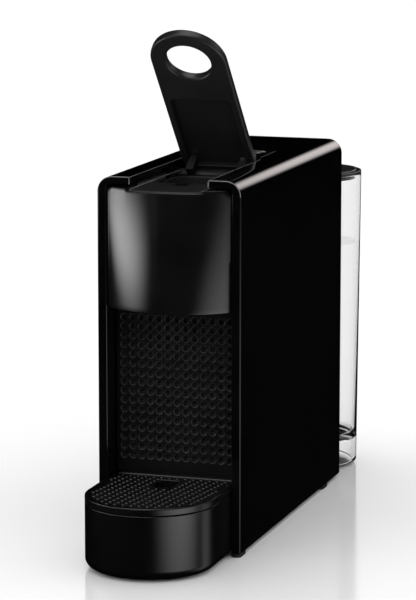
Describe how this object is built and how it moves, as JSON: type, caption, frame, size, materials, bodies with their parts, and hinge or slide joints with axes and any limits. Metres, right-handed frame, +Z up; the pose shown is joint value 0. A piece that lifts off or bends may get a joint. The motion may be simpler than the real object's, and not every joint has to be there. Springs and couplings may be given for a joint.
{
  "type": "pod coffee machine",
  "caption": "Slim coffee machine that brews from pods, with a raised top lever, a clear oval water tank behind and a drip tray that slides out in front.",
  "frame": {"origin": "the table surface under the middle of the bounding box", "axes": "+Z up, -Y towards the user and the drip tray, +Y towards the water tank"},
  "size_m": [0.086, 0.34, 0.2871],
  "materials": {
    "shell_black": "polished, piano black",
    "button_black": "polished, with a printed cup icon",
    "head_black": "polished",
    "lever_black": "satin moulding",
    "tray_black": "satin moulding",
    "grid_black": "fine raised texture",
    "grille_black": "fine moulded texture",
    "matte_black": "fine spark-eroded texture",
    "tank_clear": "clear, polished",
    "lid_smoke": "satin moulding",
    "grey_plastic": "as moulded",
    "rubber_black": "matt",
    "silicone": "satin",
    "steel": "drawn",
    "cast_alloy": "as cast",
    "board_green": "lacquered"
  },
  "bodies": {
    "machine": {"right_side_cover": "shell_black", "left_side_cover": "shell_black", "top_panel": "shell_black", "front_panel": "head_black", "capsule_chute": "matte_black", "base_plate": "matte_black", "back_cover": "matte_black", "hinge_bush_right": "matte_black", "hinge_bush_left": "matte_black", "coffee_outlet": "matte_black", "board_relay": "lid_smoke", "brew_frame_right": "grey_plastic", "brew_frame_left": "grey_plastic", "mid_deck": "grey_plastic", "brew_chamber": "grey_plastic", "rear_bulkhead": "grey_plastic", "flow_meter": "grey_plastic", "lungo_switch": "grey_plastic", "espresso_switch": "grey_plastic", "foot_front_left": "rubber_black", "foot_front_right": "rubber_black", "foot_rear_left": "rubber_black", "foot_rear_right": "rubber_black", "chamber_seal": "rubber_black", "inlet_seal": "rubber_black", "pump_mount_front": "rubber_black", "pump_mount_rear": "rubber_black", "cord_gland": "rubber_black", "inlet_hose": "silicone", "suction_hose": "silicone", "pressure_hose": "silicone", "hot_water_hose": "silicone", "pump_core": "silicone", "hinge_pin": "steel", "thermostat": "steel", "pump_coil": "steel", "thermoblock": "cast_alloy", "button_board": "board_green", "control_board": "board_green"},
    "lever": {"lever": "lever_black", "lever_yoke": "matte_black", "lever_screw_left": "steel", "lever_screw_right": "steel"},
    "brew_carriage": {"brew_carriage": "matte_black", "extraction_plate": "steel"},
    "lungo_button": {"lungo_button": "button_black"},
    "espresso_button": {"espresso_button": "button_black"},
    "drip_module": {"drip_tray": "tray_black", "capsule_container": "matte_black", "grille_panel": "grille_black"},
    "drip_grid": {"drip_grid": "grid_black"},
    "water_tank": {"water_tank": "tank_clear", "tank_bridge": "lid_smoke", "lid_hinge_pin": "steel", "valve_cage": "grey_plastic", "valve_spring": "steel"},
    "tank_lid": {"tank_lid": "lid_smoke"},
    "tank_valve": {"tank_valve": "grey_plastic", "valve_seal": "rubber_black"}
  },
  "joints": [
    {"name": "lever_hinge", "type": "hinge", "parent": "machine", "child": "lever", "pos_m": [0, -0.0144, 0.198], "axis": [1, 0, 0], "range_deg": [0, 48.4]},
    {"name": "carriage_slide", "type": "slide", "parent": "machine", "child": "brew_carriage", "axis": [0, 1, 0], "range_m": [0, 0.028]},
    {"name": "lungo_press", "type": "slide", "parent": "machine", "child": "lungo_button", "axis": [0, 0, -1], "range_m": [0, 0.001], "stiffness_N_per_m": 400, "springref_m": -0.001},
    {"name": "espresso_press", "type": "slide", "parent": "machine", "child": "espresso_button", "axis": [0, 0, -1], "range_m": [0, 0.001], "stiffness_N_per_m": 400, "springref_m": -0.001},
    {"name": "drip_module_slide", "type": "slide", "parent": "machine", "child": "drip_module", "axis": [0, -1, 0], "range_m": [0, 0.08]},
    {"name": "grid_lift", "type": "slide", "parent": "drip_module", "child": "drip_grid", "axis": [0, 0, 1], "range_m": [0, 0.03]},
    {"name": "tank_lift", "type": "slide", "parent": "machine", "child": "water_tank", "axis": [0, 0, 1], "range_m": [0, 0.03]},
    {"name": "lid_hinge", "type": "hinge", "parent": "water_tank", "child": "tank_lid", "pos_m": [0, 0.161, 0.182], "axis": [-1, 0, 0], "range_deg": [0, 95]},
    {"name": "valve_lift", "type": "slide", "parent": "water_tank", "child": "tank_valve", "axis": [0, 0, 1], "range_m": [0, 0.0012], "stiffness_N_per_m": 200, "springref_m": -0.002, "deforming": ["valve_spring"]}
  ],
  "couplings": [
    {"joint": "carriage_slide", "follows": "lever_hinge", "m_per_rad": 0.033}
  ]
}
